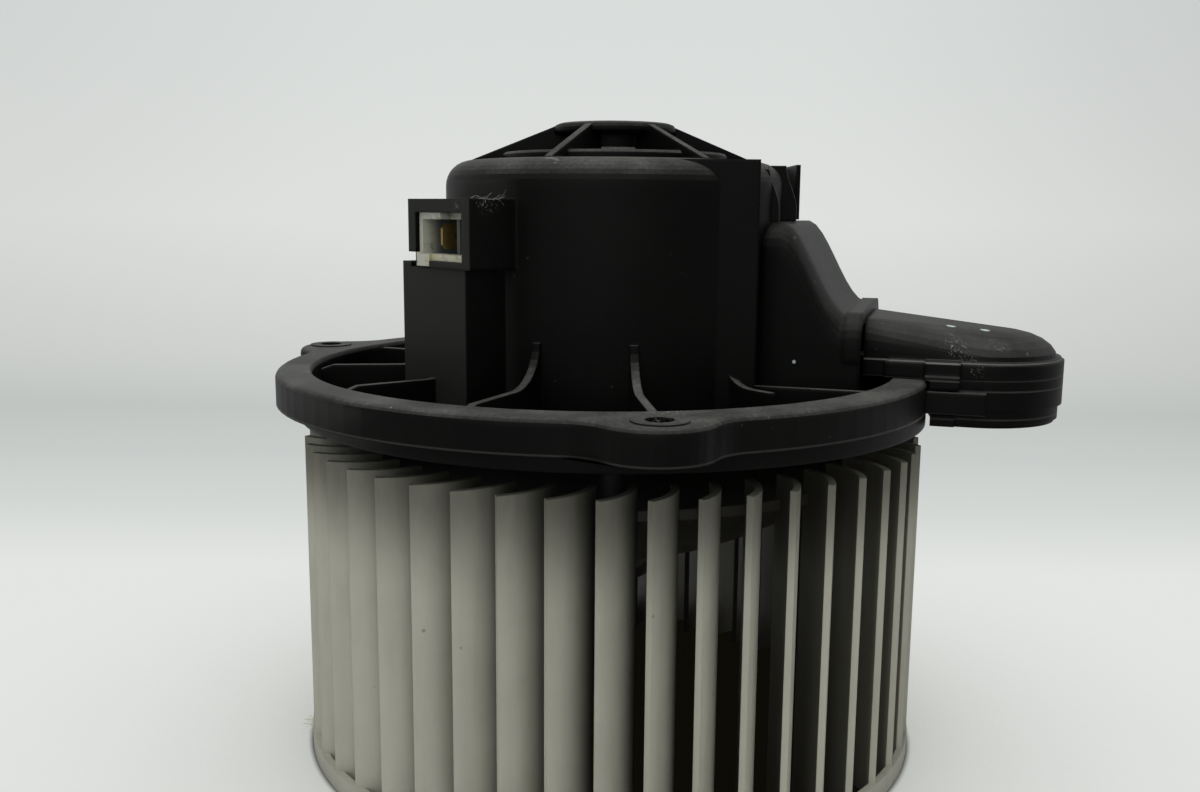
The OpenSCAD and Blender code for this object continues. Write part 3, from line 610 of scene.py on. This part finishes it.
@dataclass
class PhotoCamera:
    """The photograph's camera, fitted to the blade tips, the rim and the spigot."""

    place: Vector = field(default_factory=lambda: Vector((0.0, -0.28515, 0.0456)))
    down: float = math.radians(9.32)
    pan: float = math.radians(-0.616)
    roll: float = math.radians(0.461)
    lens: float = 34.71

    def build(self) -> bpy.types.Object:
        """Makes the camera and points it.

        Returns:
            The camera.
        """
        data = bpy.data.cameras.new("photo_camera")
        data.lens, data.sensor_width, data.sensor_fit, data.clip_start = self.lens, 36.0, "HORIZONTAL", 0.01
        camera = bpy.data.objects.new("photo_camera", data)
        bpy.context.collection.objects.link(camera)
        level = math.cos(self.down)
        ahead = Vector((math.sin(self.pan) * level, math.cos(self.pan) * level, -math.sin(self.down)))
        aside = Vector((math.cos(self.pan), -math.sin(self.pan), 0.0))
        above = aside.cross(ahead)
        right = math.cos(self.roll) * aside + math.sin(self.roll) * above
        up = math.cos(self.roll) * above - math.sin(self.roll) * aside
        turned = Matrix((right, up, -ahead)).transposed().to_4x4()
        camera.matrix_world = Matrix.Translation(self.place) @ turned
        return camera


@dataclass(frozen=True)
class Lamp:
    """One square soft lamp that faces the object."""

    name: str
    place: Sequence[float]
    side: float
    power: float

    def build(self, aim: Sequence[float]) -> None:
        """Adds the lamp.

        Args:
            aim: Point that it faces.
        """
        data = bpy.data.lights.new(self.name, "AREA")
        data.size, data.energy = self.side, self.power
        lamp = bpy.data.objects.new(self.name, data)
        bpy.context.collection.objects.link(lamp)
        turned = (Vector(self.place) - Vector(aim)).to_track_quat("Z", "Y").to_matrix().to_4x4()
        lamp.matrix_world = Matrix.Translation(self.place) @ turned


@dataclass
class Studio:
    """Pale sweep, soft lamps and an even surround."""

    floor_z: float
    half_width: float = 1.6
    near: float = -0.45
    bend: float = 0.55
    bend_radius: float = 0.5
    height: float = 2.4
    lean: float = 0.17
    run_length: float = 1.5
    wheel_radius: float = 75.5 * MM
    aim: Sequence[float] = (0.0, 0.0, -0.02)
    lamps: Sequence[Lamp] = (
        Lamp("overhead", (-0.10, -0.10, 0.85), 0.8, 8.0),
        Lamp("front", (-0.22, -0.92, 0.42), 1.0, 4.8),
        Lamp("right", (0.85, 0.10, 0.45), 0.4, 1.2),
    )
    seen_level: float = 0.66
    fill_level: float = 0.07

    def sweep(self) -> bpy.types.Object:
        """Floor that curves up into a backdrop.

        Returns:
            The sweep, marked as stage.
        """
        bm = bmesh.new()
        edge = [bm.verts.new((-self.half_width, self.near, self.floor_z)),
                bm.verts.new((self.half_width, self.near, self.floor_z))]
        line = [bm.edges.new(edge)]
        moved = bmesh.ops.extrude_edge_only(bm, edges=line)["geom"]
        bmesh.ops.translate(bm, verts=[v for v in moved if isinstance(v, bmesh.types.BMVert)],
                            vec=(0.0, self.bend - self.near, 0.0))
        last = [e for e in moved if isinstance(e, bmesh.types.BMEdge) and
                all(v.co.y > self.bend - 1e-6 for v in e.verts)]
        turned = bmesh.ops.spin(
            bm, geom=last + [v for e in last for v in e.verts], axis=(1.0, 0.0, 0.0), angle=math.radians(80),
            cent=(0.0, self.bend, self.floor_z + self.bend_radius), steps=24)["geom_last"]
        top = [e for e in turned if isinstance(e, bmesh.types.BMEdge)]
        risen = bmesh.ops.extrude_edge_only(bm, edges=top)["geom"]
        bmesh.ops.translate(bm, verts=[v for v in risen if isinstance(v, bmesh.types.BMVert)],
                            vec=(0.0, self.height * self.lean, self.height))
        sweep = to_object(bm, "studio_sweep", self.paper())
        sweep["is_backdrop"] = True
        return sweep

    def paper(self) -> bpy.types.Material:
        """White paper that shows the photograph's pale grey to the eye and to reflections.

        Returns:
            The material.
        """
        g = Graph("studio_paper")
        run = (g.along(Axis.Z) - self.floor_z + g.along(Axis.Y)) / self.run_length
        shade = g.make("ShaderNodeValToRGB", {"stops": [
            (0.08, (0.765, 0.785, 0.760, 1)), (0.135, (0.660, 0.685, 0.665, 1)),
            (0.21, (0.575, 0.605, 0.590, 1)), (0.30, (0.540, 0.565, 0.545, 1)),
            (0.44, (0.625, 0.645, 0.625, 1)), (0.66, (0.735, 0.755, 0.735, 1)),
            (0.90, (0.700, 0.725, 0.710, 1))]}, {0: run})
        aside = g.along(Axis.X) - 0.02
        fall = aside.above(0.15, 0.75) + aside.above(-0.2, -0.75) * 0.5
        shade = g.blend(fall * 0.16, shade, (0.0, 0.0, 0.0))
        shelter = g.make("ShaderNodeAmbientOcclusion", {"samples": 8}, {"Distance": 0.12}, "AO")
        shade = g.blend(shelter.above(1.0, 0.15) * 0.75, shade, (0.20, 0.205, 0.17))
        near_ring = g.reach.above(self.wheel_radius + MM, self.wheel_radius - MM)
        under = near_ring * g.along(Axis.Z).above(self.floor_z + 5 * MM, self.floor_z + MM)
        shade = g.blend(under, shade, (0.004, 0.0035, 0.002))
        diffuse = g.make("ShaderNodeBsdfDiffuse", {}, {0: (0.8, 0.8, 0.8, 1.0)})
        glow = g.make("ShaderNodeEmission", {}, {0: shade, 1: 1.0})
        mixed = g.make("ShaderNodeMixShader", {}, {0: g.seen, 1: diffuse, 2: glow})
        g.node("ShaderNodeOutputMaterial", {}, {0: mixed})
        return g.owner

    def surround(self) -> None:
        """Makes the world: pale where it is seen or mirrored, and a faint even light otherwise."""
        g = Graph("surround", world=True)
        level = self.fill_level + g.seen * (self.seen_level - self.fill_level)
        pale = g.make("ShaderNodeBackground", {}, {0: (0.97, 1.0, 0.98, 1.0), 1: level})
        g.node("ShaderNodeOutputWorld", {}, {0: pale})
        bpy.context.scene.world = g.owner

    def build(self) -> None:
        """Makes the sweep, the lamps and the world."""
        self.sweep()
        for lamp in self.lamps:
            lamp.build(self.aim)
        self.surround()


def to_object(bm: bmesh.types.BMesh, name: str, material: bpy.types.Material) -> bpy.types.Object:
    """Turns a bmesh into an object at the origin.

    Args:
        bm: The mesh, freed here.
        name: Name of the object.
        material: Its one material.

    Returns:
        The object, linked to the scene.
    """
    mesh = bpy.data.meshes.new(name)
    bmesh.ops.recalc_face_normals(bm, faces=bm.faces)
    bm.to_mesh(mesh)
    bm.free()
    mesh.materials.append(material)
    made = bpy.data.objects.new(name, mesh)
    bpy.context.collection.objects.link(made)
    return made


def outline(points: Sequence[Vector], depth: Vector, soften: float) -> bmesh.types.BMesh:
    """Flat outline drawn out into a plate with softened edges.

    Args:
        points: Corners of the outline in order.
        depth: How far and which way it is drawn out.
        soften: Width of the softened edges.

    Returns:
        The plate.
    """
    bm = bmesh.new()
    face = bmesh.ops.contextual_create(bm, geom=[bm.verts.new(point) for point in points])["faces"]
    grown = bmesh.ops.extrude_face_region(bm, geom=face)["geom"]
    bmesh.ops.translate(bm, verts=[v for v in grown if isinstance(v, bmesh.types.BMVert)], vec=depth)
    bmesh.ops.bevel(bm, geom=list(bm.edges), offset=soften, offset_type="OFFSET", segments=2, profile=0.5,
                    affect="EDGES", material=-1)
    return bm


def add_strand(bm: bmesh.types.BMesh, path: Sequence[Vector], radius: float) -> None:
    """Adds one thin fibre to a mesh.

    Args:
        bm: The mesh.
        path: Points that the fibre follows.
        radius: Radius of the fibre.
    """
    heading = (path[1] - path[0]).to_track_quat("Z", "Y").to_matrix().to_4x4()
    ring = bmesh.ops.create_circle(bm, cap_ends=True, segments=4, radius=radius,
                                   matrix=Matrix.Translation(path[0]) @ heading)["verts"]
    face = ring[0].link_faces[0]
    for here, there in zip(path, path[1:]):
        grown = bmesh.ops.extrude_face_region(bm, geom=[face])["geom"]
        face = next(item for item in grown if isinstance(item, bmesh.types.BMFace))
        bmesh.ops.translate(bm, verts=list(face.verts), vec=there - here)


@dataclass
class HoodRibs:
    """Two thin ribs that stand on the side block in front of the hood's wall."""

    root_x: float = 30.6 * MM
    top: float = 55.3 * MM
    foot: float = 42.4 * MM
    thick: float = 0.9 * MM
    soften: float = 0.18 * MM
    steps: int = 10
    ribs: Sequence[Sequence[float]] = ((-19.0, 34.7, 37.5), (-8.0, 40.4, 43.1))

    def build(self, finish: bpy.types.Material) -> None:
        """Makes both ribs, each with its curved free edge.

        Args:
            finish: Material of the housing.
        """
        for number, (y, high, low) in enumerate(self.ribs, 1):
            corners = [Vector((self.root_x, y * MM, self.foot)), Vector((self.root_x, y * MM, self.top))]
            for step in range(self.steps + 1):
                down = step / self.steps
                ease = min(1.0, 1.3 * down)
                ease = ease * ease * (3 - 2 * ease)
                corners.append(Vector(((high + (low - high) * ease) * MM, y * MM,
                                       self.top + (self.foot - self.top) * down)))
            bm = outline(corners, Vector((0.0, self.thick, 0.0)), self.soften)
            place(to_object(bm, f"hood_rib_{number}", finish), "housing", "housing_black")


@dataclass
class CapDrum:
    """Wide drum under the cap's plate, round the cap's neck."""

    radius: float = 7.7 * MM
    flare: float = 3.0 * MM
    base: float = 56.6 * MM
    top: float = 63.2 * MM

    def build(self, finish: bpy.types.Material) -> None:
        """Makes the drum, slightly wider at its foot.

        Args:
            finish: Material of the housing.
        """
        bm = bmesh.new()
        bmesh.ops.create_cone(bm, cap_ends=True, segments=64, radius1=self.radius + self.flare,
                              radius2=self.radius, depth=self.top - self.base,
                              matrix=Matrix.Translation((0.0, 0.0, (self.base + self.top) / 2)))
        edges = [e for e in bm.edges if abs(e.verts[0].co.z - e.verts[1].co.z) < 1e-6]
        bmesh.ops.bevel(bm, geom=edges, offset=0.6 * MM, offset_type="OFFSET", segments=3, profile=0.5,
                        affect="EDGES", material=-1)
        place(to_object(bm, "cap_drum", finish), "housing", "housing_black")


@dataclass
class FloorPins:
    """Short moulded pins on the floor of the flange, left of the socket's tower."""

    spots: Sequence[Sequence[float]] = ((-57.4, -1.5), (-46.2, -27.0))
    base: float = -1.4 * MM
    height: float = 4.6 * MM
    radius: float = 1.3 * MM
    taper: float = 0.86

    def build(self, finish: bpy.types.Material) -> None:
        """Makes the pins, each a tapered post with a rounded end.

        Args:
            finish: Material of the housing.
        """
        bm = bmesh.new()
        for x, y in self.spots:
            middle = Matrix.Translation((x * MM, y * MM, self.base + self.height / 2))
            post = bmesh.ops.create_cone(
                bm, cap_ends=True, segments=24, radius1=self.radius, radius2=self.radius * self.taper,
                depth=self.height, matrix=middle)["verts"]
            rim = {e for v in post for e in v.link_edges
                   if all(end.co.z > self.base + self.height * 0.9 for end in e.verts)}
            bmesh.ops.bevel(bm, geom=list(rim), offset=self.radius * 0.4, offset_type="OFFSET", segments=3,
                            profile=0.5, affect="EDGES", material=-1)
        place(to_object(bm, "floor_pins", finish), "housing", "housing_black")


@dataclass
class Fluff:
    """A wisp of fibres caught on an edge."""

    name: str
    body: str
    slot: str
    start: Vector
    end: Vector
    lean: Vector
    count: int = 16
    length: float = 2.6 * MM
    radius: float = 0.045 * MM
    seed: int = 5

    def build(self, finish: bpy.types.Material) -> None:
        """Makes the fibres, each bent at random about the common lean.

        Args:
            finish: Material of the fibres.
        """
        chance = random.Random(self.seed)
        bm = bmesh.new()
        for number in range(self.count):
            spot = self.start.lerp(self.end, (number + chance.random()) / self.count)
            path = [spot]
            way = self.lean.normalized()
            for _ in range(4):
                way = (way + 0.75 * Vector([chance.uniform(-1, 1) for _ in range(3)])).normalized()
                path.append(path[-1] + way * self.length * chance.uniform(0.12, 0.36))
            add_strand(bm, path, self.radius)
        place(to_object(bm, self.name, finish), self.body, self.slot)


def place(piece: bpy.types.Object, body: str, slot: str) -> None:
    """Makes a new piece move with a body and stand in the log.

    Args:
        piece: The new piece.
        body: Name of the CAD body that carries it.
        slot: Name of the record's material slot; not used.
    """
    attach(piece, body)
    LOG.info("added %s on %s", piece.name, body)


@dataclass(frozen=True)
class SharedFinishes:
    """Materials that more than one sub-assembly uses."""

    brass: bpy.types.Material = field(default_factory=Metal(
        "terminal_brass", (0.40, 0.28, 0.10), (0.20, 0.14, 0.05), 0.38).dress)
    plated: bpy.types.Material = field(default_factory=Metal(
        "plated_steel", (0.60, 0.60, 0.61), (0.40, 0.39, 0.36), 0.34).dress)
    copper: bpy.types.Material = field(default_factory=Winding("copper_wire").dress)


@dataclass
class SubAssembly:
    """CAD nodes that are dressed together, with the small pieces that stand on them."""

    shared: SharedFinishes

    def finishes(self) -> Mapping[str, bpy.types.Material]:
        """Finish of each CAD node, by name."""
        raise NotImplementedError

    def add_pieces(self) -> None:
        """Adds the sub-assembly's new pieces, none in most of them."""

    def build(self) -> None:
        """Dresses the nodes and adds the new pieces."""
        for node, material in self.finishes().items():
            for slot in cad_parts[node].material_slots:
                slot.material = material
            LOG.info("dressed %s", node)
        self.add_pieces()


@dataclass
class Housing(SubAssembly):
    """Black mouldings: the motor housing, its retainer and the cooling duct."""

    # Painted highlight along the flange's parting line: its height and strength.
    parting_highlight: Sequence[float] = (0.35 * MM, 0.10)
    tower_veil: Veil = Veil(front(-50, 50, 22), 34 * MM, -50.0, 0.06)
    scuffs: Sequence[Scuff] = (
        Scuff(front(-37, 47, 47), 5 * MM, 0.3, 0.8),
        Scuff(front(-38, 41, 34), 4 * MM, 1.2, 0.5),
        Scuff(front(7, 80, 7.5), 6.5 * MM, 0.9, 0.55),
        Scuff((0.0100, -0.0708, 0.0074), 5.5 * MM, 0.2, 1.0),
        Scuff((-0.0330, -0.0385, 0.0445), 3.5 * MM, 0.7, 0.2),
    )
    duct_scuffs: Sequence[Scuff] = (
        Scuff((0.0775, -0.0245, 0.0150), 4.0 * MM, 0.2, 0.5),
        Scuff((0.0800, -0.0262, 0.0120), 2.6 * MM, 0.2, 0.5),
        Scuff((0.0868, -0.0248, 0.0156), 3.6 * MM, 1.0, 0.4),
        Scuff((0.0815, -0.0287, 0.0100), 2.2 * MM, 1.0, 0.35),
    )
    # Pips with a painted glint: centre and size of each, in metres.
    elbow_pip_glint: Sequence[float] = (0.0409, -0.0259, 0.0113, 0.0004)
    duct_pip_glints: Sequence[Sequence[float]] = (
        (0.0787, -0.0157, 0.0187, 0.0011), (0.0863, -0.0168, 0.0180, 0.0011))
    # Painted highlights along the cover's lip and the duct's joints: heights and strengths.
    lip_highlights: Sequence[Sequence[float]] = ((11.45 * MM, 0.60), (7.6 * MM, 0.16))
    tray_highlights: Sequence[Sequence[float]] = ((5.3 * MM, 0.12), (-1.2 * MM, 0.10))
    lint_start: Vector = field(default_factory=lambda: Vector((-0.0302, -0.0424, 0.0470)))
    lint_end: Vector = field(default_factory=lambda: Vector((-0.0238, -0.0372, 0.0470)))

    @cached_property
    def black(self) -> bpy.types.Material:
        """Material of the motor housing."""
        return BlackMoulding("housing_black", worn=0.9 * MM, scuffs=self.scuffs,
                             lines=(self.parting_highlight,), veils=(self.tower_veil,)).dress()

    def finishes(self) -> Mapping[str, bpy.types.Material]:
        """Finish of each moulding, and of the retainer's screws.

        Returns:
            The materials by node.
        """
        elbow = BlackMoulding("elbow_black", worn=1.6 * MM, speckled=0.3, dust_and_light_level=0.6, marks=(self.elbow_pip_glint,))
        cover = BlackMoulding("duct_cover_black", worn=1.2 * MM, speckled=0.2, dust_and_light_level=0.85,
                              scuffs=self.duct_scuffs, marks=self.duct_pip_glints, lines=self.lip_highlights)
        tray = BlackMoulding("duct_tray_black", lines=self.tray_highlights)
        retainer = BlackMoulding("retainer_black", rough=0.55)
        return {"motor_housing": self.black, "motor_retainer": retainer.dress(),
                "retainer_screws": self.shared.plated, "cooling_elbow": elbow.dress(),
                "duct_cover": cover.dress(), "duct_tray": tray.dress()}

    def add_pieces(self) -> None:
        """Adds the cap's drum, the hood's ribs, the floor's pins and the lint on the tower."""
        # The drum is painted pale all over: a dusting, and painted light on its sides in the shadow of the
        # plate.
        CapDrum().build(BlackMoulding("cap_drum_black", side_dust_and_light=5.0).dress())
        HoodRibs().build(BlackMoulding("hood_rib_black", lit_edge=0.5).dress())
        FloorPins().build(self.black)
        lint = Matte("pale_lint", (0.14, 0.14, 0.125), (0.24, 0.235, 0.21), 0.8).dress()
        Fluff("tower_lint", "housing", "housing_black", self.lint_start, self.lint_end,
              Vector((0.7, -0.3, 0.1)), 12, 2.2 * MM, 0.035 * MM).build(lint)


@dataclass
class Socket(SubAssembly):
    """The two-way power socket: its nylon insert and its two terminals."""

    def finishes(self) -> Mapping[str, bpy.types.Material]:
        """Finish of the insert and of both terminals."""
        return {"connector_body": Nylon("insert_nylon").dress(), "terminal_live": self.shared.brass,
                "terminal_earth": self.shared.brass}


@dataclass
class Stator(SubAssembly):
    """What stands still round the armature: yoke, magnets, bearings and rubber rings."""

    def finishes(self) -> Mapping[str, bpy.types.Material]:
        """Finish of each piece.

        Returns:
            The materials by node.
        """
        bronze = Metal("sintered_bronze", (0.45, 0.30, 0.14), (0.25, 0.17, 0.09), 0.55).dress()
        ferrite = Matte("magnet_ferrite", (0.035, 0.035, 0.037), (0.06, 0.06, 0.06), 0.65).dress()
        rubber = Matte("isolator_rubber", (0.018, 0.018, 0.018), (0.035, 0.035, 0.035), 0.8).dress()
        plated = self.shared.plated
        return {"motor_yoke": plated, "end_bracket": plated, "magnet_a": ferrite, "magnet_b": ferrite,
                "lower_bearing": bronze, "upper_bearing": bronze, "lower_isolator": rubber,
                "upper_isolator": rubber}


@dataclass
class BrushGear(SubAssembly):
    """The card with its brushes, springs, chokes and capacitor."""

    def finishes(self) -> Mapping[str, bpy.types.Material]:
        """Finish of each piece.

        Returns:
            The materials by node.
        """
        carbon = Matte("brush_carbon", (0.035, 0.030, 0.027), (0.08, 0.06, 0.05), 0.5, 600.0).dress()
        card = Matte("card_laminate", (0.16, 0.08, 0.035), (0.26, 0.14, 0.06), 0.45, 300.0).dress()
        coat = Matte("capacitor_coat", (0.42, 0.19, 0.04), (0.50, 0.25, 0.06), 0.25, 300.0).dress()
        brass, plated, copper = self.shared.brass, self.shared.plated, self.shared.copper
        return {"brush_card": card, "brush_holder_a": brass, "brush_holder_b": brass, "brush_a": carbon,
                "brush_b": carbon, "brush_spring_a": plated, "brush_spring_b": plated, "choke_a": copper,
                "choke_b": copper, "capacitor": coat}


@dataclass
class Rotor(SubAssembly):
    """What turns: the shaft with its armature and commutator, and the fan wheel."""

    lint_start: Vector = field(default_factory=lambda: front(-73, 74.8, -79.5))
    lint_end: Vector = field(default_factory=lambda: front(-79, 74.8, -81.0))

    def finishes(self) -> Mapping[str, bpy.types.Material]:
        """Finish of each piece.

        Returns:
            The materials by node.
        """
        along = (12.0, 12.0, 1.0)
        ground = Metal("ground_steel", (0.62, 0.62, 0.64), (0.48, 0.48, 0.49), 0.22, along).dress()
        segments = Metal("commutator_copper", (0.66, 0.36, 0.22), (0.40, 0.22, 0.14), 0.3).dress()
        plated = self.shared.plated
        return {"motor_shaft": ground, "armature_core": Laminations("core_laminations").dress(),
                "armature_winding": self.shared.copper, "commutator": segments, "thrust_washers": plated,
                "hub_clip": plated, "fan_wheel": WheelPlastic("wheel_plastic").dress()}

    def add_pieces(self) -> None:
        """Adds the lint caught on the wheel's ring."""
        straw = Matte("straw_lint", (0.42, 0.40, 0.27), (0.55, 0.53, 0.38), 0.8).dress()
        Fluff("wheel_lint", "rotor", "wheel_plastic", self.lint_start, self.lint_end,
              Vector((-1.0, -0.1, 0.25)), 12, 3.0 * MM, 0.05 * MM, 9).build(straw)


def main() -> None:
    """Builds the camera, the studio and every sub-assembly in order."""
    logging.basicConfig(level=logging.INFO, format="%(message)s")
    scene = bpy.context.scene
    scene.view_settings.view_transform = "Standard"
    cad_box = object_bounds()
    scene.camera = PhotoCamera().build()
    Studio(floor_z=cad_box[0][2]).build()
    shared = SharedFinishes()
    for sub_assembly in (Housing, Socket, Stator, BrushGear, Rotor):
        sub_assembly(shared).build()


if __name__ == "__main__":
    main()
